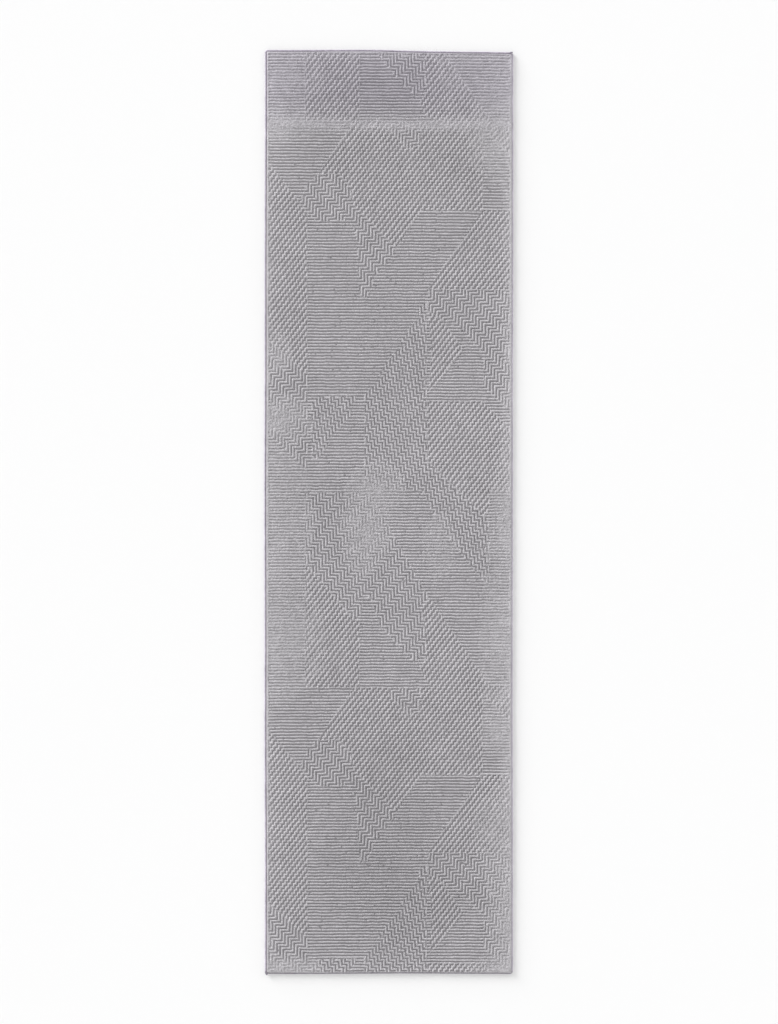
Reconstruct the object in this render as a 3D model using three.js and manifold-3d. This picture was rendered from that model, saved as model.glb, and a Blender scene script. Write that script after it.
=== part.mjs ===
// Runner rug with a woven pile in two heights, serged on all four sides.
// Millimetres, +Z up, Y along the rug. The origin is the centre of the underside.
import * as THREE from "three";
import { mergeVertices } from "three/addons/utils/BufferGeometryUtils.js";
import Module from "manifold-3d";

// Overall size, over the serging.
const rugWidth = 808;
const rugLength = 3000;

// The layers, from the floor up.
const backingThickness = 1.2;
const groundThickness = 1.8;
const lowPileHeight = 3.3;
const ribHeight = 3.8;
const layerGap = 0.3;
const pileCornerRadius = 4;

// The serging yarn, wrapped round a filler cord and the margin of the ground cloth.
const sergingWidth = 6;
const sergingWall = 1.2;
const sergingLip = 1;
const cordDiameter = 2.2;
const cordClearance = 0.3;

// The knotted ends of the serging yarn, on two opposite corners.
const knotDiameter = 2.6;
const knotLength = 9;
const knotInset = 7;

// The blank care label, let into the underside.
const labelWidth = 60;
const labelLength = 40;
const labelThickness = 0.4;
const labelInset = 45;
const labelClearance = 0.3;

// Heights that follow from the layers.
const groundBottom = backingThickness + layerGap;
const groundTop = groundBottom + groundThickness;
const lowPileBottom = groundTop + layerGap;
const ribBottom = lowPileBottom + lowPileHeight + layerGap;

// The serging's cross-section: a hollow bead for the cord, and a slot for the ground cloth.
const cordRadius = cordDiameter / 2;
const cordHoleRadius = cordRadius + cordClearance;
const beadRadius = cordHoleRadius + sergingWall;
const beadTop = 2 * beadRadius;
const slotBottom = backingThickness;
const slotTop = groundTop + layerGap;
const cordFromEdge = beadRadius;
const groundFromEdge = cordFromEdge + cordRadius + cordClearance;
const pileFromEdge = sergingWidth + layerGap;

const boreOverrun = 1;
const roundSides = 32;

const wasm = await Module();
wasm.setup();

function solidOf(geometry) {
  const bare = geometry.clone();
  bare.deleteAttribute("normal");
  bare.deleteAttribute("uv");
  const merged = mergeVertices(bare, 1e-4);
  return new wasm.Manifold(
    new wasm.Mesh({
      numProp: 3,
      vertProperties: merged.attributes.position.array,
      triVerts: new Uint32Array(merged.index.array),
    }),
  );
}

function geometryOf(solid) {
  const mesh = solid.getMesh();
  const geometry = new THREE.BufferGeometry();
  geometry.setAttribute("position", new THREE.BufferAttribute(mesh.vertProperties, 3));
  geometry.setIndex(new THREE.BufferAttribute(mesh.triVerts, 1));
  geometry.computeVertexNormals();
  return geometry;
}

function box(width, length, height, x, y, bottom) {
  const geometry = new THREE.BoxGeometry(width, length, height);
  return geometry.translate(x, y, bottom + height / 2);
}

// A flat layer of the rug, with its edge the same distance inside the rug's on all sides.
function layer(fromEdge, bottom, height, cornerRadius) {
  const halfWidth = rugWidth / 2 - fromEdge;
  const halfLength = rugLength / 2 - fromEdge;
  const r = cornerRadius;
  const outline = new THREE.Shape();
  outline.moveTo(-halfWidth + r, -halfLength);
  outline.lineTo(halfWidth - r, -halfLength);
  outline.absarc(halfWidth - r, -halfLength + r, r, -Math.PI / 2, 0);
  outline.lineTo(halfWidth, halfLength - r);
  outline.absarc(halfWidth - r, halfLength - r, r, 0, Math.PI / 2);
  outline.lineTo(-halfWidth + r, halfLength);
  outline.absarc(-halfWidth + r, halfLength - r, r, Math.PI / 2, Math.PI);
  outline.lineTo(-halfWidth, -halfLength + r);
  outline.absarc(-halfWidth + r, -halfLength + r, r, Math.PI, 1.5 * Math.PI);
  const options = { depth: height, bevelEnabled: false, curveSegments: 6 };
  return new THREE.ExtrudeGeometry(outline, options).translate(0, 0, bottom);
}

// A bar of the given outline along Y, centred on Y = 0. The outline is drawn in X and Z.
function barAlongY(outline, length) {
  const options = { depth: length, bevelEnabled: false, curveSegments: roundSides };
  const geometry = new THREE.ExtrudeGeometry(outline, options);
  return geometry.rotateX(Math.PI / 2).translate(0, length / 2, 0);
}

function rodAlongY(radius, length, x, z) {
  const geometry = new THREE.CylinderGeometry(radius, radius, length, roundSides);
  return geometry.translate(x, 0, z);
}

// The serging on the +X side of a rug that reaches halfSpan that way.
function sergingGeometry(halfSpan, length) {
  const inner = halfSpan - sergingWidth;
  const cordX = halfSpan - cordFromEdge;
  const outline = new THREE.Shape();
  outline.moveTo(inner, 0);
  outline.lineTo(cordX, 0);
  outline.absarc(cordX, beadRadius, beadRadius, -Math.PI / 2, Math.PI / 2);
  outline.lineTo(inner, slotTop + sergingLip);
  outline.closePath();
  const cutLength = length + 2 * boreOverrun;
  const slotWidth = cordX - inner + boreOverrun;
  const slotX = inner - boreOverrun + slotWidth / 2;
  const slot = box(slotWidth, cutLength, slotTop - slotBottom, slotX, 0, slotBottom);
  const cordHole = rodAlongY(cordHoleRadius, cutLength, cordX, beadRadius);
  const wrapped = solidOf(barAlongY(outline, length));
  return geometryOf(wrapped.subtract(solidOf(cordHole)).subtract(solidOf(slot)));
}

function cordGeometry(halfSpan, length) {
  return rodAlongY(cordRadius, length, halfSpan - cordFromEdge, beadRadius);
}

const labelX = rugWidth / 2 - sergingWidth - labelInset - labelWidth / 2;
const labelY = -(rugLength / 2 - sergingWidth - labelInset - labelLength / 2);

function backingGeometry() {
  const sheet = layer(pileFromEdge, 0, backingThickness, pileCornerRadius);
  const recessWidth = labelWidth + 2 * labelClearance;
  const recessLength = labelLength + 2 * labelClearance;
  const recessDepth = labelThickness + labelClearance;
  const cut = recessDepth + boreOverrun;
  const recess = box(recessWidth, recessLength, cut, labelX, labelY, -boreOverrun);
  return geometryOf(solidOf(sheet).subtract(solidOf(recess)));
}

// A short thick thread end, lying across the rug on top of the serging.
function knotGeometry() {
  const straight = knotLength - knotDiameter;
  const geometry = new THREE.CapsuleGeometry(knotDiameter / 2, straight, 8, 16);
  return geometry.rotateZ(Math.PI / 2);
}

const colours = {
  backing: { color: 0xb9b3a6, roughness: 0.75 },
  ground: { color: 0xa39a8b, roughness: 0.95 },
  lowPile: { color: 0x85838a, roughness: 1 },
  ribs: { color: 0xbdbbc0, roughness: 0.95 },
  serging: { color: 0xa6a0ac, roughness: 0.9 },
  cord: { color: 0xd8d3c8, roughness: 0.95 },
  label: { color: 0xf1f0ec, roughness: 0.6 },
};

const rug = new THREE.Group();

function add(name, geometry, finish) {
  const material = new THREE.MeshStandardMaterial({ ...colours[finish], metalness: 0 });
  const mesh = new THREE.Mesh(geometry, material);
  mesh.name = name;
  rug.add(mesh);
  return mesh;
}

add("latex_backing", backingGeometry(), "backing");
add("ground_cloth", layer(groundFromEdge, groundBottom, groundThickness, 1), "ground");
add("low_pile", layer(pileFromEdge, lowPileBottom, lowPileHeight, pileCornerRadius), "lowPile");
add("raised_pile", layer(pileFromEdge, ribBottom, ribHeight, pileCornerRadius), "ribs");

const labelGeometry = box(labelWidth, labelLength, labelThickness, labelX, labelY, 0);
add("care_label", labelGeometry, "label");

// The long sides' serging and cords stop short of those of the two ends, which run right across.
const sideLength = rugLength - 2 * (sergingWidth + layerGap);
const sides = [
  { name: "right", halfSpan: rugWidth / 2, length: sideLength, turn: 0 },
  { name: "head", halfSpan: rugLength / 2, length: rugWidth, turn: Math.PI / 2 },
  { name: "left", halfSpan: rugWidth / 2, length: sideLength, turn: Math.PI },
  { name: "foot", halfSpan: rugLength / 2, length: rugWidth, turn: -Math.PI / 2 },
];
for (const side of sides) {
  const yarn = sergingGeometry(side.halfSpan, side.length);
  const cord = cordGeometry(side.halfSpan, side.length);
  add(`serging_${side.name}`, yarn, "serging").rotation.z = side.turn;
  add(`filler_cord_${side.name}`, cord, "cord").rotation.z = side.turn;
}

const knotX = rugWidth / 2 - knotInset;
const knotY = rugLength / 2 - cordFromEdge;
const knotZ = beadTop + layerGap + knotDiameter / 2;
add("corner_knot_head_right", knotGeometry(), "serging").position.set(knotX, knotY, knotZ);
add("corner_knot_foot_left", knotGeometry(), "serging").position.set(-knotX, -knotY, knotZ);

export default rug;
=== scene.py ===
# A runner rug with a carved pile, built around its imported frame.
import math

import bmesh
import bpy
import numpy as np
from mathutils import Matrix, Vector


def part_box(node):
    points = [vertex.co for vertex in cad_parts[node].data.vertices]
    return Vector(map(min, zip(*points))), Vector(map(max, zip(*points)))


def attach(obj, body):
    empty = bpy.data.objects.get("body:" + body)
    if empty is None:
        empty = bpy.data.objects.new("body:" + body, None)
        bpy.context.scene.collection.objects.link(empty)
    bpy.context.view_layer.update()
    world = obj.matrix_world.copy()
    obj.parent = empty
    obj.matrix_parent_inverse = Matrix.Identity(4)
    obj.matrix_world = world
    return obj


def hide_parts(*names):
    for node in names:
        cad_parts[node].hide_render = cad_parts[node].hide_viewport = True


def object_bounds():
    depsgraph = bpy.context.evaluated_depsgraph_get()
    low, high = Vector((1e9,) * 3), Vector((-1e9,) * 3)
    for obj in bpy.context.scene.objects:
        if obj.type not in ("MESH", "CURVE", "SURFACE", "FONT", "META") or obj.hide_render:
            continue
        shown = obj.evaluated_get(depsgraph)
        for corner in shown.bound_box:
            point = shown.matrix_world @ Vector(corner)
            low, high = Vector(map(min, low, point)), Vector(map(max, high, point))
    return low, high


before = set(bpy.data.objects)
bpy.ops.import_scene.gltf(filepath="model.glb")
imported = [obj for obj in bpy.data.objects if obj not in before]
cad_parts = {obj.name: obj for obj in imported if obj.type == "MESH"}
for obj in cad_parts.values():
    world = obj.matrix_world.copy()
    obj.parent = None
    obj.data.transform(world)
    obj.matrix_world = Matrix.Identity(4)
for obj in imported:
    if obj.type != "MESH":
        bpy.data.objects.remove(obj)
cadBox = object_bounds()

rugLow, rugHigh = cadBox
rugWidth = rugHigh.x - rugLow.x
rugLength = rugHigh.y - rugLow.y
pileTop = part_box("raised_pile")[1].z
shortLow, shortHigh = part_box("low_pile")


# A socket that does sums, and a material to put nodes in.
class Wire:
    def __init__(self, paint, socket):
        self.paint = paint
        self.socket = socket

    def maths(self, operation, *values):
        sockets = dict(enumerate(values))
        return self.paint.add("ShaderNodeMath", {"operation": operation}, sockets)

    def __add__(self, other):
        return self.maths("ADD", self, other)

    def __radd__(self, other):
        return self.maths("ADD", other, self)

    def __sub__(self, other):
        return self.maths("SUBTRACT", self, other)

    def __rsub__(self, other):
        return self.maths("SUBTRACT", other, self)

    def __mul__(self, other):
        return self.maths("MULTIPLY", self, other)

    def __rmul__(self, other):
        return self.maths("MULTIPLY", other, self)

    def sine(self):
        return self.maths("SINE", self)

    def clamped(self):
        return self.paint.add("ShaderNodeClamp", {}, {"Value": self})


class Paint:
    def __init__(self, name):
        self.material = bpy.data.materials.new(name)
        self.material.use_nodes = True
        self.tree = self.material.node_tree
        self.shader = self.tree.nodes["Principled BSDF"]

    def add(self, kind, settings, sockets, output=0):
        node = self.tree.nodes.new(kind)
        for key, value in settings.items():
            setattr(node, key, value)
        self.feed(node, sockets)
        return Wire(self, node.outputs[output])

    def feed(self, node, sockets):
        for key, value in sockets.items():
            socket = node.inputs[key]
            if isinstance(value, Wire):
                self.tree.links.new(value.socket, socket)
            elif hasattr(value, "__len__") and len(value) == 3 and socket.type == "RGBA":
                socket.default_value = (*value, 1)
            else:
                socket.default_value = value

    def place(self):
        return self.add("ShaderNodeTexCoord", {}, {}, "Object")

    def axis(self, place, name):
        return self.add("ShaderNodeSeparateXYZ", {}, {0: place}, name)

    def scaled(self, place, scale):
        settings = {"operation": "MULTIPLY"}
        return self.add("ShaderNodeVectorMath", settings, {0: place, 1: scale})

    def noise(self, place, scale, detail=2.0, roughness=0.5):
        sockets = {"Vector": place, "Scale": scale, "Detail": detail, "Roughness": roughness}
        return self.add("ShaderNodeTexNoise", {}, sockets, "Fac")

    def cells(self, place, scale):
        return self.add("ShaderNodeTexVoronoi", {}, {"Vector": place, "Scale": scale}, "Distance")

    def spread(self, value, low, high, newLow=0.0, newHigh=1.0):
        sockets = {"Value": value, 1: low, 2: high, 3: newLow, 4: newHigh}
        return self.add("ShaderNodeMapRange", {"clamp": True}, sockets)

    def blend(self, first, second, share):
        return first * share + second * (1 - share)

    def attribute(self, name):
        return self.add("ShaderNodeAttribute", {"attribute_name": name}, {}, "Fac")

    def brighten(self, colour, amount):
        sockets = {0: colour, "Scale": amount}
        return self.add("ShaderNodeVectorMath", {"operation": "SCALE"}, sockets)

    def mix(self, factor, a, b):
        sockets = {0: factor, 6: a, 7: b}
        return self.add("ShaderNodeMix", {"data_type": "RGBA"}, sockets, 2)

    def bump(self, height, distance, strength=1.0):
        sockets = {"Height": height, "Distance": distance, "Strength": strength}
        return self.add("ShaderNodeBump", {}, sockets)

    def finish(self, sockets):
        self.feed(self.shader, sockets)
        return self.material


fine = {"detail": 3, "roughness": 0.6}    # noise for fibres and wear


def softNoise(across, along, size, seed):
    # Smooth random hills between -1 and 1, about size apart.
    draw = np.random.default_rng(seed)
    x = (across - across.min()) / size
    y = (along - along.min()) / size
    lattice = draw.uniform(-1, 1, (int(x.max()) + 2, int(y.max()) + 2))
    column = x.astype(int)
    row = y.astype(int)
    s = x - column
    t = y - row
    s = s * s * (3 - 2 * s)
    t = t * t * (3 - 2 * t)
    near = lattice[column, row] * (1 - t) + lattice[column, row + 1] * t
    far = lattice[column + 1, row] * (1 - t) + lattice[column + 1, row + 1] * t
    return near * (1 - s) + far * s


def plainGrid(name, columns, rows):
    shape = bmesh.new()
    bmesh.ops.create_grid(shape, x_segments=columns, y_segments=rows, size=0.5)
    for face in shape.faces:
        face.smooth = True
    mesh = bpy.data.meshes.new(name)
    shape.to_mesh(mesh)
    shape.free()
    return mesh


def readPlaces(mesh):
    flat = np.empty(len(mesh.vertices) * 3, np.float32)
    mesh.vertices.foreach_get("co", flat)
    return flat.reshape(-1, 3).astype(float)


def writePlaces(mesh, *axes):
    flat = np.stack(axes, 1).astype(np.float32).ravel()
    mesh.vertices.foreach_set("co", flat)
    mesh.update()


def gridSteps(mesh, columns, rows):
    # Each vertex's column and row, counted from the left and from the head end.
    places = readPlaces(mesh)
    column = np.rint((places[:, 0] + 0.5) * columns).astype(int)
    row = np.rint((0.5 - places[:, 1]) * rows).astype(int)
    return column, row


# A map's two halves: faces that look down lie to the right of those that look up.
mapHalves = {"downwards": -0.2, "width": 0.49, "upStart": 0.005, "downStart": 0.505}


def layMap(mesh):
    # A map of the piece seen straight from above.
    layer = mesh.uv_layers.new(name="OFBake")
    corners = np.empty(len(mesh.loops), np.int32)
    mesh.loops.foreach_get("vertex_index", corners)
    places = readPlaces(mesh)[corners]
    low = places.min(0)
    size = places.max(0) - low
    u = (places[:, 0] - low[0]) / size[0]
    v = (places[:, 1] - low[1]) / size[1]
    normals = np.empty(len(mesh.polygons) * 3, np.float32)
    mesh.polygons.foreach_get("normal", normals)
    sides = np.empty(len(mesh.polygons), np.int32)
    mesh.polygons.foreach_get("loop_total", sides)
    down = np.repeat(normals.reshape(-1, 3)[:, 2] < mapHalves["downwards"], sides)
    if down.any():
        u = u * mapHalves["width"]
        u += np.where(down, mapHalves["downStart"], mapHalves["upStart"])
    layer.uv.foreach_set("vector", np.stack([u, v], 1).astype(np.float32).ravel())


def addPiece(name, mesh, material, replaced=()):
    piece = bpy.data.objects.new(name, mesh)
    bpy.context.scene.collection.objects.link(piece)
    mesh.materials.clear()
    mesh.materials.append(material)
    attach(piece, "root")
    if replaced:
        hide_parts(*replaced)
    return piece


def thicken(piece, thickness, offset):
    # An offset of 1 adds all of the thickness above the sheet, -1 below it, 0 half and half.
    solid = piece.modifiers.new("thickness", "SOLIDIFY")
    solid.thickness = thickness
    solid.offset = offset


# The outline: cloth is cut and sewn by hand, so no edge is dead straight.
outline = {
    "wander": 0.0009,          # how far the long edges stray
    "leftInset": 0.3,          # and how far inside the rug's width they lie, in wanders
    "rightInset": 2,
    "leftWaves": (6.1, 23),    # a long and a short wave
    "rightWaves": (4.4, 19),
    "shortWave": 0.4,          # the short wave's share of the long one
    "headDip": 0.0085,         # the head end is cut a little short at its right corner
    "headStart": -0.02,        # and starts to fall away here, along X
    "headCurve": 0.8,
    "headWander": 0.0005,
    "headWave": 14,
    "footWander": 0.0007,
    "footInset": 1.8,
    "footWave": 9,
}


def leftEdge(y):
    t = (rugHigh.y - y) / rugLength
    long, short = outline["leftWaves"]
    bend = outline["leftInset"] + np.cos(long * t) + outline["shortWave"] * np.sin(short * t)
    return rugLow.x + outline["wander"] * bend


def rightEdge(y):
    t = (rugHigh.y - y) / rugLength
    long, short = outline["rightWaves"]
    bend = outline["rightInset"] - np.cos(long * t) + outline["shortWave"] * np.sin(short * t + 1)
    return rugHigh.x - outline["wander"] * bend


def headEdge(x):
    t = np.clip((x - outline["headStart"]) / (rugHigh.x - outline["headStart"]), 0, 1)
    dip = outline["headDip"] * t ** outline["headCurve"]
    return rugHigh.y - dip + outline["headWander"] * (1 - np.sin(outline["headWave"] * x))


def footEdge(x):
    bend = outline["footInset"] + np.sin(outline["footWave"] * x + 1)
    return rugLow.y + outline["footWander"] * bend


# The camera and the light come first.
studio = {
    "lens": 85,
    "sight": 60,             # how far the camera sees
    "frameHeight": 3.321,    # what it sees of the pile, from the top of the view to the bottom
    "worldStrength": 0.54,
    "lampDistance": 3,
    "floorSize": 120,
    "floorSquares": 8,
    "floorDrop": 0.0002,     # the floor lies this far under the rug
    "floorColour": (0.93, 0.93, 0.93),
}

# Heights, turns and spreads are in degrees. A turn of 0 is +X and 90 is the head end.
keyLamp = {"strength": 3.3, "height": 13, "turn": 135, "spread": 26}
ringLamps = {"strength": 0.4, "height": 16, "spread": 32}
ringCount = 8


def addCamera():
    scene = bpy.context.scene
    lens = bpy.data.cameras.new("camera")
    lens.lens = studio["lens"]
    lens.clip_end = studio["sight"]
    camera = bpy.data.objects.new("camera", lens)
    distance = studio["frameHeight"] * studio["lens"] / lens.sensor_width
    camera.location = (0, 0, pileTop + distance)
    scene.collection.objects.link(camera)
    scene.camera = camera


def lightRoom():
    # Behind the floor the camera sees plain white, as a studio sweep would give.
    world = bpy.data.worlds.new("studio")
    world.use_nodes = True
    bpy.context.scene.world = world
    tree = world.node_tree
    sky = tree.nodes["Background"]
    sky.inputs["Color"].default_value = (1, 1, 1, 1)
    path = tree.nodes.new("ShaderNodeLightPath")
    level = tree.nodes.new("ShaderNodeMapRange")
    level.inputs["To Min"].default_value = studio["worldStrength"]
    level.inputs["To Max"].default_value = 1
    tree.links.new(path.outputs["Is Camera Ray"], level.inputs["Value"])
    tree.links.new(level.outputs["Result"], sky.inputs["Strength"])


def addLamp(name, strength, height, turn, spread):
    lamp = bpy.data.lights.new(name, "SUN")
    lamp.energy = strength
    lamp.angle = math.radians(spread)
    holder = bpy.data.objects.new(name, lamp)
    rise = math.radians(height)
    around = math.radians(turn)
    up = studio["lampDistance"] * math.sin(rise)
    out = studio["lampDistance"] * math.cos(rise)
    holder.location = (out * math.cos(around), out * math.sin(around), up)
    holder.rotation_euler = (-holder.location).to_track_quat("-Z", "Y").to_euler()
    bpy.context.scene.collection.objects.link(holder)


def layFloor():
    mesh = plainGrid("floor", studio["floorSquares"], studio["floorSquares"])
    places = readPlaces(mesh)
    size = studio["floorSize"]
    writePlaces(mesh, places[:, 0] * size, places[:, 1] * size, places[:, 2] - studio["floorDrop"])
    paint = Paint("floor")
    mesh.materials.append(paint.finish({"Base Color": studio["floorColour"], "Roughness": 0.9}))
    floor = bpy.data.objects.new("floor", mesh)
    bpy.context.scene.collection.objects.link(floor)


def buildStudio():
    bpy.context.scene.view_settings.view_transform = "Standard"
    addCamera()
    lightRoom()
    addLamp("key", **keyLamp)
    for number in range(ringCount):
        addLamp(f"ring{number}", turn=360 * number / ringCount, **ringLamps)
    layFloor()


buildStudio()
print("studio set up")

# The carving: ribs one step apart, straight or climbing in stairs.
# Sizes here are in ribs, counted from the left edge and from the head end.
carving = {
    "ribAcross": 0.01012,   # one rib's spacing where the ribs run down the rug
    "ribAlong": 0.01,       # and where they run across it
    "cellsPerRib": 4,
    "fromLeft": 0.0011,     # where the first one starts
    "ribShare": 0.5,        # how much of each step the rib fills
    "ribShift": 0.25,       # which puts the rib's middle at the start of its step
    "first": 23,            # the design starts at this rib
    "repeat": 183,          # and starts again after so many
    "bandLeft": 1.35,       # plain raised band inside the serging
    "bandRight": 78.5,
    "bandEnd": 0.4,
    "seamHeight": 0.45,     # the line between two fields, as a share of a rib's height
    "crumb": 12,            # a patch of fewer faces joins the ribs beside it
    "speck": 3,             # and one of fewer still with nothing beside it is left out
}

# How far one stair goes across and down, and whether it climbs to the right.
stairs = {
    "diagonal": {"across": 0.75, "down": 1, "lean": 1},
    "rising": {"across": 2.5, "down": 3, "lean": 1},
    "falling": {"across": 2.5, "down": 3, "lean": -1},
    "cascade": {"across": 1.5, "down": 2, "lean": -1},
}

fields = [
    {"motif": "diagonal", "start": 0.75, "outline": [
        (28.5, 23), (79.5, 23), (79.5, 34.5), (70, 25), (70, 51.5), (50.5, 51.5), (42.3, 63.5),
        (17.3, 39.7)]},
    {"motif": "rising", "start": 4.5, "outline": [
        (17, 40), (24, 40), (27.5, 44.5), (28.5, 50), (42.5, 63.7), (36, 72), (33, 79.5),
        (30.5, 79.5), (29.3, 59), (27, 55), (17, 55.3), (11, 49.5), (13.8, 43)]},
    {"motif": "rising", "start": 0.25, "outline": [
        (40.3, 23.3), (50, 23.3), (50, 30.5), (46.5, 32), (40.3, 26)]},
    {"motif": "diagonal", "start": 1, "outline": [
        (0, 35.3), (13.7, 52.2), (13.7, 104.3), (0, 92.3)]},
    {"motif": "rising", "start": 2, "outline": [
        (0, 92.3), (13.7, 104.3), (13.7, 134), (12, 135), (0, 124.8)]},
    {"motif": "diagonal", "start": 0.75, "outline": [
        (70, 51.2), (79.5, 51.2), (79.5, 77), (52.3, 77)]},
    {"motif": "rising", "start": 4.25, "outline": [
        (52.3, 77), (79.5, 77), (79.5, 116), (76, 113.7), (70.3, 108.3), (70.3, 97.5), (61, 89),
        (52.3, 83.8)]},
    {"motif": "diagonal", "start": 0.25, "outline": [
        (52.5, 84), (56.5, 86.3), (63.2, 95.8), (62.5, 98.5), (52.8, 109.8), (53.5, 97)]},
    {"motif": "cascade", "start": 3.25, "outline": [
        (50, 81), (52, 81), (52.2, 132.5), (60.5, 140.5), (70, 149.7), (72, 152.5), (72, 171.7),
        (70.5, 171.7), (60, 158.5), (54.5, 150), (50.5, 142), (32, 142), (32, 111.5), (49, 86)]},
    {"motif": "cascade", "start": 3.25, "outline": [
        (15, 112), (29.5, 111.5), (27.5, 117.5), (22.5, 124), (17, 131.8), (15.2, 131.8)]},
    {"motif": "diagonal", "start": 0.25, "outline": [
        (52.3, 113), (70, 113), (79.5, 122.5), (79.5, 142.3), (72, 142.5), (71.8, 149.5),
        (70, 149.7), (60.5, 140.5), (52.3, 132.5)]},
    {"motif": "falling", "start": 0.5, "outline": [
        (13, 142.7), (33.5, 142.7), (52.8, 177), (50.3, 180), (51.8, 186), (51.8, 196.5),
        (48.5, 198.3), (37, 186), (34, 176.8), (31.3, 176.8), (31, 183), (29, 184.3),
        (13, 165.8)]},
    {"motif": "diagonal", "start": 1, "outline": [
        (13, 165.8), (29, 184.3), (30.5, 184.3), (30.5, 206), (13, 206)]},
    {"motif": "diagonal", "start": 1.5, "outline": [
        (52.8, 177), (55, 180), (65, 195), (72.3, 205.2), (79.5, 205.2), (79.5, 206), (53, 206),
        (49.7, 200), (51.8, 196.5), (51.5, 186), (50.3, 180)]},
]

# The woven cloth gives a little along its length, most at the middle, and hangs lower at its
# right edge.
stretch = {
    "start": 0.0007,
    "belly": 0.0095,        # in the middle of the length
    "slack": 0.003,         # growing evenly towards the foot
    "footSlack": 0.0023,    # and this much more near it
    "skew": 0.0025,
    "rightSag": 0.0025,
}


def isInside(x, y, points):
    hit = np.zeros(x.shape, bool)
    for (x1, y1), (x2, y2) in zip(points, points[1:] + points[:1]):
        if y1 != y2:
            hit ^= ((y1 > y) != (y2 > y)) & (x < x1 + (x2 - x1) * (y - y1) / (y2 - y1))
    return hit


def stairLevel(x, y, motif, start):
    # Counts ribs: it grows by one from each stair-shaped rib to the next.
    step = stairs[motif]
    side = (x - start) * step["lean"]
    turn = (side - y) / (step["across"] + step["down"])
    climb = y + step["down"] * np.floor(turn)
    return np.maximum(climb, side - step["across"] * np.ceil(turn))


def readCarving(across, down):
    # How high each vertex stands, and which field it belongs to. Field 0 is the straight ribs.
    wrapped = (down - carving["first"]) % carving["repeat"] + carving["first"]
    level = wrapped.copy()
    owner = np.zeros(across.shape, int)
    for number, field in enumerate(fields, 1):
        hit = isInside(across, wrapped, field["outline"])
        owner[hit] = number
        level[hit] = stairLevel(across[hit], wrapped[hit], field["motif"], field["start"])
    height = ((level + carving["ribShift"]) % 1 < carving["ribShare"]).astype(float)
    seam = np.zeros(across.shape, bool)
    seam[:, :-1] |= owner[:, :-1] != owner[:, 1:]
    seam[:-1] |= owner[:-1] != owner[1:]
    height[seam] = np.maximum(height[seam], carving["seamHeight"])
    # A vertex alone in its row or column goes with the field beside it.
    for axis in (0, 1, 0, 1):
        before = np.roll(owner, 1, axis)
        alone = (owner != before) & (owner != np.roll(owner, -1, axis))
        owner[alone] = before[alone]
    return height, owner


pile = {
    "topDrift": 0.0003,      # unevenness from one tuft to the next
    "topRoll": 0.0004,       # and over a few centimetres
    "sway": 0.001,           # ribs stray sideways
    "tuftStray": 0.0007,
    "lean": 0.0028,          # a few tufts lean over the grooves
    "sink": 0.0016,          # and a few on the ribs stand low
    "rarity": 4,             # the higher, the fewer of either
    "rootDepth": 0.0005,     # the ribs start this far inside the short pile
    "ribStart": 0.001,       # what stands higher than this above a groove is part of a rib
    "edgeDrop": 0.0055,      # the outer tufts lean down over the serging
    "edgeSlope": 1.6,
    "rimDepth": 0.0026,      # and their roots start beside it
    "paintedEdgeShade": 3,          # painted shade along the lit left and head edges, against the band of light on the pile's outer slope
    "paintedEdgeShadeReach": 0.004,
    "fromLeft": 0.006,       # the pile hides more of the serging on the right and at the foot
    "fromRight": 0.003,
    "fromHead": 0.0062,
    "fromFoot": 0.0034,
    "brushedDrop": 0.0006,
    "brushedFill": 0.0027,   # brushed tufts lie over the grooves
    "fillFrom": 0.04,        # from this much brushing on
    "fray": 0.35,            # how ragged a brushed place is
    "clouds": 0.25,          # how much the shade of the pile drifts
    "grooveDrift": 0.0005,   # the grooves are not all equally open
    "ribDrift": 0.0003,      # and the ribs not all equally full
    "seed": 11,
}

# The size in ribs of each kind of unevenness, and the seed of its draw.
hills = {
    "swayAcross": (2.2, 1),
    "swayAlong": (1.8, 2),
    "topRoll": (4, 3),
    "clouds": (12, 4),
    "fray": (1.7, 6),
    "ribDrift": (0.6, 8),
    "grooveDrift": (0.8, 9),
}

# Places where the pile is brushed flat: middle and size in ribs, and how strongly.
brushedSpots = [
    (7, 10, 8, 5, 0.4), (4, 24, 9, 3.5, 0.55), (62, 6, 5, 8, 0.25), (76, 14, 5, 9, 0.3),
    (73, 29, 5, 9, 0.5), (3, 98, 4, 5, 0.3), (4, 119, 7, 5, 0.7),
    (36, 141, 6, 5, 0.5), (32, 155, 5, 9, 0.5), (6, 150, 8, 17, 0.2), (56, 160, 5, 9, 0.15),
    (6, 190, 9, 14, 0.4), (78, 150, 4, 12, 0.5), (76, 190, 5, 25, 0.35), (75, 221, 4, 4, 0.5),
    (76, 252, 6, 9, 0.4), (78, 282, 5, 16, 0.4), (4, 298, 9, 3, 0.65), (76, 298, 7, 3, 0.65),
    (40, 24, 60, 1.7, 0.6), (40, 0, 60, 2, 0.4), (79, 150, 2, 400, 0.3), (0, 150, 1.5, 400, 0.3),
]

# Painted light and shade on the pile, where the light catches it more and where less: middle, size,
# and how much.
lightSpots = [
    (34, 13, 20, 9, -0.6), (38, 255, 24, 34, -0.65), (45, 275, 22, 20, -0.6), (-2, 150, 7, 900, 0.9),
    (82, 150, 7, 900, 1.1), (40, -1, 90, 4, 0.8), (40, 301, 90, 5, 0.9), (37, 151, 7, 11, 0.3),
    (40, 24, 60, 1.2, 0.8), (78, 30, 6, 8, 0.5), (44, 130, 30, 40, 0.15), (2, 25, 9, 22, 0.6),
]


def sumSpots(spots, across, down):
    total = np.zeros(across.shape)
    for x, y, width, length, amount in spots:
        far = ((across - x) / width) ** 2 + ((down - y) / length) ** 2
        total += amount * np.exp(-far)
    return total


def readBrushing(across, down):
    fray = 1 + pile["fray"] * softNoise(across, down, *hills["fray"])
    return np.clip(sumSpots(brushedSpots, across, down) * fray, 0, 1)


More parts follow.
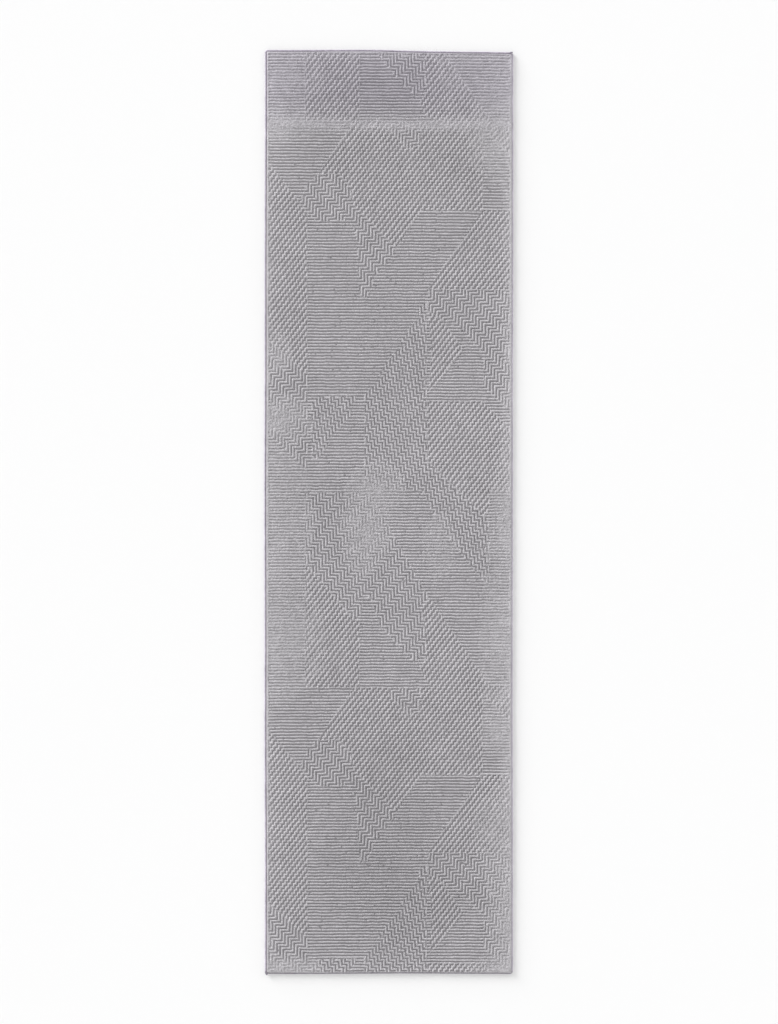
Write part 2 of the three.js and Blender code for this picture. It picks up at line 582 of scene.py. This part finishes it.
def addLightAndTone(mesh, across, down, fromLit=None):
    # Painted light and shade on the pile: the spots where the light catches it more and where less,
    # a random drift of shade, painted shade over the brushed places in place of the shade their
    # filled grooves lose, and painted shade along the lit left and head edges.
    lightAndTone = sumSpots(lightSpots, across, down)
    lightAndTone += pile["clouds"] * softNoise(across, down, *hills["clouds"])
    lightAndTone -= readBrushing(across, down)
    if fromLit is not None:
        lightAndTone -= pile["paintedEdgeShade"] * np.exp(-fromLit / pile["paintedEdgeShadeReach"])
    mesh.attributes.new("lightAndTone", "FLOAT", "POINT").data.foreach_set("value", lightAndTone)


def placeTufts(across, down, draw):
    # Where each vertex lies on the floor plan, with the stretch of the cloth in it.
    x = rugLow.x + carving["fromLeft"] + across * carving["ribAcross"]
    share = down * carving["ribAlong"] / rugLength
    side = across * carving["ribAcross"] / rugWidth
    give = stretch["belly"] * np.sin(np.pi * share) + stretch["slack"] * share
    give += stretch["footSlack"] * share ** 3 - stretch["start"]
    give += stretch["skew"] * side * (1 - 2 * share) + stretch["rightSag"] * side ** 4
    y = rugHigh.y - down * carving["ribAlong"] - give
    x += pile["sway"] * softNoise(across, down, *hills["swayAcross"])
    y += pile["sway"] * softNoise(across, down, *hills["swayAlong"])
    x += pile["tuftStray"] * draw.uniform(-1, 1, x.shape)
    y += pile["tuftStray"] * draw.uniform(-1, 1, x.shape)
    return x, y


def readHeights(across, down, brushed, draw):
    # How high the pile stands on a rib and in a groove.
    top = pileTop - pile["topRoll"] * (1 + softNoise(across, down, *hills["topRoll"]))
    top += pile["topDrift"] * draw.uniform(-1, 1, across.shape)
    top -= pile["brushedDrop"] * brushed
    top += pile["ribDrift"] * softNoise(across, down, *hills["ribDrift"])
    foot = shortHigh.z - pile["rootDepth"] + pile["brushedFill"] * brushed
    foot += pile["grooveDrift"] * (1 + softNoise(across, down, *hills["grooveDrift"]))
    foot += pile["lean"] * draw.uniform(0, 1, across.shape) ** pile["rarity"]
    top -= pile["sink"] * draw.uniform(0, 1, across.shape) ** pile["rarity"]
    return top, foot


def layPile():
    cells = carving["cellsPerRib"]
    columns = int(rugWidth / carving["ribAcross"] * cells) + 1
    rows = int(rugLength / carving["ribAlong"] * cells) + 2
    mesh = plainGrid("pile", columns, rows)
    column, row = gridSteps(mesh, columns, rows)
    order = np.lexsort((column, row))
    backwards = np.empty_like(order)
    backwards[order] = np.arange(len(order))
    across = ((column[order] + 0.5) / cells).reshape(rows + 1, columns + 1)
    down = ((row[order] + 0.5) / cells).reshape(rows + 1, columns + 1)
    height, owner = readCarving(across, down)
    height[(across < carving["bandLeft"]) | (across > carving["bandRight"])] = 1
    brushed = readBrushing(across, down)
    draw = np.random.default_rng(pile["seed"])
    x, y = placeTufts(across, down, draw)
    top, foot = readHeights(across, down, brushed, draw)
    z = foot + (top - foot) * height

    # The rim of the pile follows the serging and leans down over it.
    west = leftEdge(y) + pile["fromLeft"]
    east = rightEdge(y) - pile["fromRight"]
    north = headEdge(x) - pile["fromHead"]
    south = footEdge(x) + pile["fromFoot"]
    beyond = np.maximum(np.maximum(west - x, x - east), np.maximum(south - y, y - north))
    nearEnd = np.minimum(north - y, y - south) < carving["bandEnd"] * carving["ribAlong"]
    z = np.where(nearEnd, top, z)
    x = np.clip(x, west, east)
    y = np.clip(y, south, north)
    raised = (z > foot + pile["ribStart"]) | (brushed > pile["fillFrom"]) | (beyond > 0)
    rim = np.minimum(pile["edgeSlope"] * beyond, pile["rimDepth"])
    z = np.minimum(z, pileTop - pile["edgeDrop"] - rim)
    outside = beyond > pile["rimDepth"] / pile["edgeSlope"]

    # The open grooves show the short pile, and the ribs beside them reach down into it.
    low = ~raised
    bare = low[:-1, :-1] & low[1:, :-1] & low[:-1, 1:] & low[1:, 1:]
    for below in (0, 1):
        for right in (0, 1):
            corner = z[below:rows + below, right:columns + right]
            corner[bare] = shortHigh.z - pile["rootDepth"]

    writePlaces(mesh, *[array.ravel()[backwards] for array in (x, y, z)])
    # How far each vertex lies from the lit left and head edges, for the painted shade along them.
    fromLit = np.minimum(x - west, north - y)
    addLightAndTone(mesh, *[array.ravel()[backwards] for array in (across, down, fromLit)])
    parts = [array.ravel()[backwards] for array in (raised, outside, owner, down)]
    return mesh, parts


def pileColours(paint, look):
    # Tufts and fibres over a slow drift of shade, darker towards the roots: painted shade down in
    # the pile, with some dirt there too.
    place = paint.place()
    upright = paint.scaled(place, (1, 1, look["upright"]))
    tuft = paint.cells(upright, look["tuftScale"])
    fibre = paint.noise(upright, look["fibreScale"], **fine)
    clump = paint.noise(place, look["clumpScale"])
    height = paint.spread(paint.axis(place, "Z"), look["rootHeight"], look["tipHeight"])
    height = height + (clump - 0.5) * look["clumping"]
    shade = paint.mix(height.clamped(), look["root"], look["tip"])
    lilac = paint.spread(paint.axis(place, "Y"), look["lilacFrom"], look["lilacTo"])
    shade = paint.mix(lilac * look["lilacMix"], shade, look["lilac"])
    drift = paint.noise(place, look["driftScale"], **fine)
    # Each tuft is darker towards its edge: painted shade in the gaps between tufts.
    light = (fibre - 0.5) * look["grain"] + (look["tuftMiddle"] - tuft) * look["tuftShade"]
    # The painted light and shade on the vertices, with its random drift, brightens or darkens the
    # colour.
    light = light + (drift - 0.5) * look["drift"] + paint.attribute("lightAndTone") * look["lightAndTone"]
    shade = paint.brighten(shade, 1 + light)
    relief = (1 - tuft) * look["tuftRelief"] + fibre * look["fibreRelief"]
    return shade, paint.bump(relief, look["bumpDepth"], look["bumpStrength"])


pileLook = {
    "tuftScale": 390,
    "fibreScale": 1500,
    "upright": 0.15,        # tufts stand on end, so their pattern is drawn out along Z
    "clumpScale": 170,
    "clumping": 0.5,
    # From tip to root the colour darkens: painted shade down in the pile, with some dirt there too.
    "rootHeight": shortHigh.z + 0.001,
    "tipHeight": pileTop - 0.0008,
    "root": (0.42, 0.405, 0.425),
    "tip": (0.512, 0.498, 0.519),
    "lilac": (0.46, 0.42, 0.51),
    "lilacMix": 0.3,
    "lilacFrom": 1.22,      # the head end leans to lilac from here
    "lilacTo": 1.36,
    "grain": 0.6,
    "tuftMiddle": 0.4,      # tufts are lighter inside this distance and darker beyond it: painted shade in the gaps between them
    "tuftShade": 0.25,
    "driftScale": 38,
    "drift": 0.3,
    # how strongly the painted light and shade on the vertices shows
    "lightAndTone": 0.14,
    "tuftRelief": 0.7,
    "fibreRelief": 0.5,
    "bumpDepth": 0.0013,
    "bumpStrength": 0.9,
}

# The loops between the ribs are a little darker and smoother, and at root height they take the
# root's painted shade.
shortLook = dict(pileLook, root=(0.41, 0.395, 0.415), grain=0.3, bumpDepth=0.0008, bumpStrength=0.8)


def pileMaterial():
    paint = Paint("cut_pile")
    shade, normal = pileColours(paint, pileLook)
    return paint.finish({
        "Base Color": shade,
        "Roughness": 0.92,
        "Specular IOR Level": 0.12,
        "Sheen Weight": 0.3,
        "Sheen Roughness": 0.6,
        "Normal": normal,
    })


def shortPileMaterial():
    paint = Paint("loop_pile")
    shade, normal = pileColours(paint, shortLook)
    return paint.finish({
        "Base Color": shade,
        "Roughness": 0.95,
        "Specular IOR Level": 0.1,
        "Normal": normal,
    })


# Each piece of the ribs: its name, its motifs, and where it starts and ends down the rug, in ribs.
ribPieces = [
    ("straight_ribs_head", ["straight"], 0, 150),
    ("straight_ribs_foot", ["straight"], 150, 400),
    ("diagonal_ribs_head", ["diagonal"], 0, 110),
    ("diagonal_ribs_foot", ["diagonal"], 110, 400),
    ("stair_ribs_rising", ["rising"], 0, 400),
    ("stair_ribs_falling", ["falling", "cascade"], 0, 400),
]


def joinCrumbs(base, part):
    # A patch of a few faces goes with the ribs beside it, so that no piece has loose crumbs.
    shape = bmesh.new()
    shape.from_mesh(base)
    seen = part < 0
    for seed in shape.faces:
        if seen[seed.index]:
            continue
        own = part[seed.index]
        seen[seed.index] = True
        patch = [seed]
        beside = []
        for face in patch:
            for edge in face.edges:
                for other in edge.link_faces:
                    if part[other.index] != own:
                        beside.append(part[other.index])
                    elif not seen[other.index]:
                        seen[other.index] = True
                        patch.append(other)
        near = [number for number in beside if number >= 0]
        if len(patch) < carving["crumb"] and (near or len(patch) < carving["speck"]):
            part[[face.index for face in patch]] = near[0] if near else -1
    shape.free()


def buildRibs():
    base, (raised, outside, owner, down) = layPile()
    corners = np.empty(len(base.loops), np.int32)
    base.loops.foreach_get("vertex_index", corners)
    corners = corners.reshape(-1, 4)
    standing = raised[corners].any(1) & ~outside[corners].all(1)
    first = corners[:, 0]
    names = ["straight"] + [field["motif"] for field in fields]
    part = np.full(len(first), -1)    # which piece each face belongs to, or none
    for number, (name, motifs, start, end) in enumerate(ribPieces):
        mine = [field for field, motif in enumerate(names) if motif in motifs]
        keep = standing & np.isin(owner[first], mine)
        part[keep & (down[first] >= start) & (down[first] < end)] = number
    joinCrumbs(base, part)
    material = pileMaterial()
    for number, (name, motifs, start, end) in enumerate(ribPieces):
        shape = bmesh.new()
        shape.from_mesh(base)
        spare = [face for face, own in zip(shape.faces, part.tolist()) if own != number]
        bmesh.ops.delete(shape, geom=spare, context="FACES")
        mesh = bpy.data.meshes.new(name)
        shape.to_mesh(mesh)
        shape.free()
        layMap(mesh)
        addPiece(name, mesh, material, ["raised_pile"])
        print(name, len(mesh.polygons) * 2, "triangles")
    bpy.data.meshes.remove(base)


buildRibs()
print("ribs carved")

hillSize = 0.02    # how far apart a layer's small hills are


def flatLayer(name, low, high, spacing, z, wave=0.0, seed=0):
    # A sheet that follows the hand-cut outline, its height given by z plus small hills.
    columns = int((high.x - low.x) / spacing[0])
    rows = int((high.y - low.y) / spacing[1])
    mesh = plainGrid(name, columns, rows)
    column, row = gridSteps(mesh, columns, rows)
    s = column / columns
    t = row / rows
    y = high.y + (low.y - high.y) * t
    west = leftEdge(y) + low.x - rugLow.x
    east = rightEdge(y) - (rugHigh.x - high.x)
    x = west + (east - west) * s
    north = headEdge(x) - (rugHigh.y - high.y)
    south = footEdge(x) + low.y - rugLow.y
    y = north + (south - north) * t
    writePlaces(mesh, x, y, z + wave * softNoise(x, y, hillSize, seed))
    return mesh, x, y


shortPile = {"spacing": (0.01, 0.01), "wave": 0.00025, "seed": 7}


def buildShortPile():
    wave = shortPile["wave"]
    mesh, x, y = flatLayer("short", shortLow, shortHigh, shortPile["spacing"],
                           shortHigh.z - wave, wave, shortPile["seed"])
    addLightAndTone(mesh, (x - rugLow.x) / carving["ribAcross"], (rugHigh.y - y) / carving["ribAlong"])
    piece = addPiece("low_pile_loops", mesh, shortPileMaterial(), ["low_pile"])
    thicken(piece, shortHigh.z - shortLow.z - 2 * wave, -1)


buildShortPile()
print("short pile laid")

groundLow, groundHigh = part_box("ground_cloth")
ground = {
    "spacing": (0.02, 0.02),
    "wave": 0.0001,
    "seed": 8,
    "warpScale": 2 * math.pi / 0.0032,
    "weftScale": 2 * math.pi / 0.005,
    "fibreScale": 900,
    "threadShare": 0.6,
    "fuzz": 0.4,
    "yarn": (0.42, 0.35, 0.25),
    "yarnDark": (0.27, 0.21, 0.14),
}


def weave(paint, place, warpScale, weftScale):
    # Plain weave: warp and weft pass over each other in turn.
    across = (paint.axis(place, "X") * warpScale).sine()
    along = (paint.axis(place, "Y") * weftScale).sine()
    return (across * along) * 0.5 + 0.5


def groundMaterial():
    paint = Paint("ground_weave")
    place = paint.place()
    threads = weave(paint, place, ground["warpScale"], ground["weftScale"])
    fibre = paint.noise(place, ground["fibreScale"], **fine)
    tint = paint.blend(threads, fibre, ground["threadShare"])
    return paint.finish({
        "Base Color": paint.mix(tint, ground["yarnDark"], ground["yarn"]),
        "Roughness": 0.95,
        "Normal": paint.bump(threads + fibre * ground["fuzz"], 0.0004),
    })


def buildGround():
    z = (groundLow.z + groundHigh.z) / 2
    mesh = flatLayer("ground", groundLow, groundHigh, ground["spacing"], z, ground["wave"],
                     ground["seed"])[0]
    piece = addPiece("ground_weave", mesh, groundMaterial(), ["ground_cloth"])
    thicken(piece, groundHigh.z - groundLow.z - 4 * ground["wave"], 0)
    return piece


groundPiece = buildGround()
print("ground cloth laid")

backLow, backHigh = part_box("latex_backing")
labelLow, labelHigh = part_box("care_label")
backing = {
    "weftPitch": 0.006,
    "weftDepth": 0.0003,
    "acrossSpacing": 0.02,
    "thickness": 0.0008,
    "labelGap": 0.0003,
    "latex": (0.62, 0.57, 0.47),
    "worn": (0.5, 0.44, 0.34),
    "speckScale": 260,
    "cloudScale": 7,
    "roughness": (0.55, 0.8),
    "threadRelief": 0.7,
    "speckRelief": 0.5,
}


def backingMaterial():
    paint = Paint("latex_coat")
    place = paint.place()
    threads = weave(paint, place, ground["warpScale"], ground["weftScale"])
    speck = paint.noise(place, backing["speckScale"], 4, 0.65)
    cloud = paint.noise(place, backing["cloudScale"], **fine)
    wear = paint.spread(paint.blend(speck, cloud, 0.5), 0.35, 0.65)
    relief = threads * backing["threadRelief"] + speck * backing["speckRelief"]
    return paint.finish({
        "Base Color": paint.mix(wear, backing["worn"], backing["latex"]),
        "Roughness": paint.spread(speck, 0.3, 0.7, *backing["roughness"]),
        "Normal": paint.bump(relief, 0.0003),
    })


def buildBacking():
    # The woven back shows through the latex as a ridge for every weft yarn.
    spacing = (backing["acrossSpacing"], backing["weftPitch"] / 2)
    mesh, x, y = flatLayer("backing", backLow, backHigh, spacing, 0)
    row = np.rint((backHigh.y - readPlaces(mesh)[:, 1]) / spacing[1]).astype(int)
    valley = backing["weftDepth"] * (row % 2)
    # The coat is pressed up over the label, and comes down again one step of the grid beyond it.
    overLabel = (x > labelLow.x - spacing[0]) & (x < labelHigh.x + spacing[0])
    overLabel &= (y > labelLow.y - spacing[1]) & (y < labelHigh.y + spacing[1])
    lift = np.where(overLabel, labelHigh.z + backing["labelGap"], valley)
    writePlaces(mesh, x, y, backLow.z + lift)
    piece = addPiece("latex_coat", mesh, backingMaterial(), ["latex_backing"])
    thicken(piece, backing["thickness"], 1)


buildBacking()
print("backing laid")

# The serged edges: yarn wrapped round each edge of the cloth.
serging = {
    "width": 0.0058,
    "height": 0.0052,
    "wrapPitch": 0.0021,
    "ringsPerWrap": 4,
    "around": 12,
    "ridge": 0.085,         # how much a wrap stands out from the hollow beside it
    "looseness": 0.03,
    "cornerRadius": 0.006,
    "cornerPoints": 8,
    "endPoints": 120,
    "sidePoints": 240,
    "seed": 30,
    "fibreScale": 1300,
    "slubScale": 120,
    "wearScale": 14,
    "patchScale": 75,
    "wear": 0.45,
    "yarn": (0.43, 0.39, 0.465),
    "yarnDark": (0.23, 0.205, 0.26),
    "yarnLight": (0.6, 0.56, 0.63),
    # How much lighter or darker each side's yarn is painted, as painted light and shade for that
    # side: the right side is lightened against the shade the pile casts on it, and the foot
    # darkened.
    "paintedSideLight": {"head": 0.05, "left": 0.12, "right": 0.35, "foot": -0.35},
    "patchy": 0.5,
}


def resample(points, spacing):
    points = np.array(points, float)
    steps = np.linalg.norm(np.diff(points, axis=0), axis=1)
    run = np.concatenate([[0], np.cumsum(steps)])
    count = max(2, int(round(run[-1] / spacing)))
    at = np.linspace(0, run[-1], count + 1)
    return np.stack([np.interp(at, run, points[:, k]) for k in range(3)], 1), at


def tube(name, points, around, radii, up=(0, 0, 1)):
    # A grid rolled round a path: radii gives the half width and half height of each ring.
    rings = len(points) - 1
    mesh = plainGrid(name, around, rings)
    column, row = gridSteps(mesh, around, rings)
    heading = np.gradient(points, axis=0)
    heading /= np.linalg.norm(heading, axis=1)[:, None]
    side = np.cross(heading, np.array(up, float))
    side /= np.linalg.norm(side, axis=1)[:, None]
    over = np.cross(side, heading)
    turn = 2 * math.pi * column / around
    halfWidth, halfHeight = radii(row, turn)
    spot = points[row] + side[row] * (halfWidth * np.cos(turn))[:, None]
    spot += over[row] * (halfHeight * np.sin(turn))[:, None]
    writePlaces(mesh, spot[:, 0], spot[:, 1], spot[:, 2])
    shape = bmesh.new()
    shape.from_mesh(mesh)
    bmesh.ops.remove_doubles(shape, verts=shape.verts, dist=1e-6)
    rim = [edge for edge in shape.edges if edge.is_boundary]
    bmesh.ops.holes_fill(shape, edges=rim, sides=around)
    bmesh.ops.recalc_face_normals(shape, faces=shape.faces)
    shape.to_mesh(mesh)
    shape.free()
    return mesh


def yarnMaterial():
    paint = Paint("serging_yarn")
    place = paint.place()
    fibre = paint.noise(place, serging["fibreScale"], **fine)
    slub = paint.noise(place, serging["slubScale"])
    wear = paint.spread(paint.noise(place, serging["wearScale"], **fine), 0.35, 0.7)
    shade = paint.mix(paint.spread(paint.blend(fibre, slub, 0.6), 0.3, 0.7),
                      serging["yarnDark"], serging["yarn"])
    shade = paint.mix(wear * serging["wear"], shade, serging["yarnLight"])
    patch = (paint.noise(place, serging["patchScale"]) - 0.5) * serging["patchy"]
    # Each side's painted light and shade, with random patches of lighter and darker yarn.
    shade = paint.brighten(shade, 1 + paint.attribute("paintedSideLight") + patch)
    return paint.finish({
        "Base Color": shade,
        "Roughness": 0.88,
        "Specular IOR Level": 0.2,
        "Sheen Weight": 0.2,
        "Normal": paint.bump(fibre, 0.0004, 0.7),
    })


def endPath(edge, toMiddle):
    # Right across one end of the rug, turning down both long sides at its corners.
    bead = serging["width"] / 2
    r = serging["cornerRadius"]
    z = serging["height"] / 2
    inner = [leftEdge(edge(rugLow.x)) + r + bead, rightEdge(edge(rugHigh.x)) - r - bead]
    across = np.linspace(inner[0], inner[1], serging["endPoints"])
    middle = edge(across) + toMiddle * bead
    points = [(x, y, z) for x, y in zip(across, middle)]
    turns = np.linspace(0, math.pi / 2, serging["cornerPoints"])
    startY = middle[0] + toMiddle * r
    endY = middle[-1] + toMiddle * r
    left = [(inner[0] - r * math.sin(a), startY - toMiddle * r * math.cos(a), z) for a in turns]
    right = [(inner[1] + r * math.sin(a), endY - toMiddle * r * math.cos(a), z) for a in turns]
    return left[:0:-1] + points + right[1:]


def sidePath(edge, toMiddle):
    # Down one long side, from where the head end's corner stops to where the foot's starts.
    bead = serging["width"] / 2
    reach = bead + serging["cornerRadius"]
    x0 = edge(0.0)
    top = headEdge(x0) - reach
    bottom = footEdge(x0) + reach
    along = np.linspace(top, bottom, serging["sidePoints"])
    return [(edge(y) + toMiddle * bead, y, serging["height"] / 2) for y in along]


edgePaths = {
    "head": endPath(headEdge, -1),
    "foot": endPath(footEdge, 1),
    "left": sidePath(leftEdge, 1),
    "right": sidePath(rightEdge, -1),
}


def buildSerging():
    material = yarnMaterial()
    perWrap = serging["ringsPerWrap"]
    for number, (name, path) in enumerate(edgePaths.items()):
        points, run = resample(path, serging["wrapPitch"] / perWrap)
        draw = np.random.default_rng(serging["seed"] + number)
        loose = np.repeat(draw.uniform(-1, 1, len(run) // perWrap + 2), perWrap)[:len(run)]

        def radii(row, turn):
            phase = run[row] / serging["wrapPitch"] * 2 * math.pi + turn
            swell = 1 + serging["ridge"] * np.cos(phase) + serging["looseness"] * loose[row]
            return serging["width"] / 2 * swell, serging["height"] / 2 * swell

        mesh = tube(f"{name}_serging", points, serging["around"], radii)
        # Each side's painted light and shade, stored on its vertices.
        paintedSideLight = np.full(len(mesh.vertices), serging["paintedSideLight"][name])
        mesh.attributes.new("paintedSideLight", "FLOAT", "POINT").data.foreach_set("value", paintedSideLight)
        addPiece(f"serging_wrap_{name}", mesh, material, [f"serging_{name}"])


buildSerging()
print("edges serged")

# The knotted yarn ends on two corners.
knot = {
    "yarnRadius": 0.0014,
    "size": 0.0024,
    "tail": 0.004,
    "start": -0.15,            # where on its loop the yarn comes in
    "end": 1.72 * math.pi,     # and where it goes out
    "points": 90,
    "around": 10,
    "ply": 0.1,
    "plyTwist": 0.9,
    "sideways": (0.13, 0.21, 0.97),    # a direction that the yarn never runs in
    "fibreScale": 1600,
    "soil": (0.22, 0.2, 0.24),
    "yarn": (0.4, 0.375, 0.43),
}


def knotPath(centre, outward, loops):
    # An overhand knot with its two tails lying along the edge.
    t = np.linspace(knot["start"], knot["end"], knot["points"])
    size = knot["size"] * loops
    x = (np.sin(t) + 2 * np.sin(2 * t)) * size / 2
    y = (np.cos(t) - 2 * np.cos(2 * t)) * size / 2
    z = -np.sin(3 * t) * size / 2
    points = np.stack([x * outward, y, z], 1) + np.array(centre)
    leaving = [points[0] - points[4], points[-1] - points[-5]]
    tails = [end + way / np.linalg.norm(way) * knot["tail"]
             for end, way in zip((points[0], points[-1]), leaving)]
    for end in tails:
        end[2] = serging["height"] + knot["yarnRadius"]
    return [tails[0], *points, tails[1]]


def knotYarnMaterial():
    paint = Paint("knot_yarn")
    fibre = paint.noise(paint.place(), knot["fibreScale"], **fine)
    return paint.finish({
        "Base Color": paint.mix(fibre, knot["soil"], knot["yarn"]),
        "Roughness": 0.9,
        "Normal": paint.bump(fibre, 0.0004, 0.7),
    })


def buildKnots():
    dark = knotYarnMaterial()
    corners = (("corner_knot_head_right", 1, 1, headEdge, rugHigh.y),
               ("corner_knot_foot_left", -1, 1.4, footEdge, rugLow.y))
    for name, outward, loops, edge, square in corners:
        low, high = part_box(name)
        centre = (low + high) / 2
        centre.y += edge(centre.x) - square
        points = resample(knotPath(centre, outward, loops), knot["yarnRadius"] / 2)[0]

        def radii(row, turn):
            ply = 1 + knot["ply"] * np.cos(2 * turn + row * knot["plyTwist"])
            return knot["yarnRadius"] * ply, knot["yarnRadius"] * ply

        mesh = tube(name, points, knot["around"], radii, up=knot["sideways"])
        addPiece(f"{name}_yarn", mesh, dark, [name])


buildKnots()
print("knots tied")

# The filler cords inside the serging.
cord = {
    "radius": 0.0011,
    "strands": 3,
    "twistPitch": 0.024,
    "ringSpacing": 0.002,
    "around": 12,
    "groove": 0.12,
    "fibreScale": 1500,
    "slubScale": 160,
    "cotton": (0.72, 0.67, 0.56),
    "grey": (0.5, 0.46, 0.38),
}


def cordMaterial():
    paint = Paint("cotton_cord")
    place = paint.place()
    fibre = paint.noise(place, cord["fibreScale"], 3)
    slub = paint.noise(place, cord["slubScale"])
    return paint.finish({
        "Base Color": paint.mix(paint.blend(fibre, slub, 0.6), cord["grey"], cord["cotton"]),
        "Roughness": 0.95,
        "Normal": paint.bump(fibre, 0.0003),
    })


def buildCords():
    # Three strands laid round each other, along the same lines as the serging.
    cotton = cordMaterial()
    for name, path in edgePaths.items():
        points, run = resample(path, cord["ringSpacing"])

        def radii(row, turn):
            lay = run[row] / cord["twistPitch"] * 2 * math.pi
            strand = 1 - cord["groove"] * (1 + np.cos(cord["strands"] * turn + lay)) / 2
            return cord["radius"] * strand, cord["radius"] * strand

        mesh = tube(f"{name}_cord", points, cord["around"], radii)
        addPiece(f"laid_cord_{name}", mesh, cotton, [f"filler_cord_{name}"])


buildCords()
print("cords laid")

# The blank label and its stitches.
label = {
    "colour": (0.86, 0.85, 0.82),
    "shade": (0.72, 0.71, 0.68),
    "threadScale": 2 * math.pi / 0.0006,
    "threadShade": 0.5,
    "soilScale": 60,
    "soil": 0.25,
    "cornerRadius": 0.002,
    "rim": 0.3,              # how much of the tape's thickness its rim is rounded by
    "stitch": 0.0032,
    "stitchHalf": 0.36,      # half a stitch, as a share of the space it has
    "stitchInset": 0.003,
    "stitchRadius": 0.00018,
    "fibreScale": 4000,
    "thread": (0.55, 0.55, 0.57),
    "threadDark": (0.4, 0.4, 0.42),
}


def labelMaterial():
    paint = Paint("label_tape")
    place = paint.place()
    threads = weave(paint, place, label["threadScale"], label["threadScale"])
    soil = paint.spread(paint.noise(place, label["soilScale"], 3), 0.35, 0.75)
    shade = paint.mix(threads * label["threadShade"], label["colour"], label["shade"])
    shade = paint.mix(soil * label["soil"], shade, label["shade"])
    return paint.finish({
        "Base Color": shade,
        "Roughness": 0.55,
        "Sheen Weight": 0.3,
        "Normal": paint.bump(threads, 0.0001),
    })


def threadMaterial():
    paint = Paint("stitch_thread")
    fibre = paint.noise(paint.place(), label["fibreScale"])
    return paint.finish({
        "Base Color": paint.mix(fibre, label["threadDark"], label["thread"]),
        "Roughness": 0.6,
        "Normal": paint.bump(fibre, 0.0001),
    })


def buildLabel():
    # The stitches stand half a thread proud of the tape, on the floor's side.
    low = labelLow + Vector((0, 0, label["stitchRadius"]))
    size = labelHigh - low
    middle = (low + labelHigh) / 2
    shape = bmesh.new()
    bmesh.ops.create_cube(shape, size=1)
    bmesh.ops.scale(shape, vec=size, verts=shape.verts)
    uprights = [edge for edge in shape.edges
                if abs(edge.verts[0].co.z - edge.verts[1].co.z) > size.z / 2]
    bmesh.ops.bevel(shape, geom=uprights, offset=label["cornerRadius"], segments=5,
                    affect="EDGES", profile=0.5, material=-1)
    rims = [edge for edge in shape.edges
            if abs(edge.verts[0].co.z - edge.verts[1].co.z) < size.z / 2]
    bmesh.ops.bevel(shape, geom=rims, offset=size.z * label["rim"], segments=2,
                    affect="EDGES", profile=0.5, material=-1)
    bmesh.ops.translate(shape, vec=middle, verts=shape.verts)
    mesh = bpy.data.meshes.new("label")
    shape.to_mesh(mesh)
    shape.free()
    addPiece("care_label_tape", mesh, labelMaterial(), ["care_label"])


def buildStitches():
    # A running stitch all round the label, each stitch a short flat loop of thread.
    inset = label["stitchInset"]
    low = labelLow + Vector((inset, inset, 0))
    high = labelHigh - Vector((inset, inset, 0))
    ends = [(low.x, low.y), (high.x, low.y), (high.x, high.y), (low.x, high.y)]
    shape = bmesh.new()
    for (x1, y1), (x2, y2) in zip(ends, ends[1:] + ends[:1]):
        length = math.hypot(x2 - x1, y2 - y1)
        count = int(length / label["stitch"])
        for number in range(count):
            t = (number + 0.5) / count
            made = bmesh.ops.create_uvsphere(shape, u_segments=8, v_segments=6, radius=1)
            along = length / count * label["stitchHalf"]
            thin = label["stitchRadius"]
            sides = (along, thin, thin) if y1 == y2 else (thin, along, thin)
            bmesh.ops.scale(shape, vec=sides, verts=made["verts"])
            spot = Vector((x1 + (x2 - x1) * t, y1 + (y2 - y1) * t, labelLow.z + thin))
            bmesh.ops.translate(shape, vec=spot, verts=made["verts"])
    for face in shape.faces:
        face.smooth = True
    mesh = bpy.data.meshes.new("stitches")
    shape.to_mesh(mesh)
    shape.free()
    addPiece("label_stitches", mesh, threadMaterial())


buildLabel()
buildStitches()
print("label sewn on")

print("done")
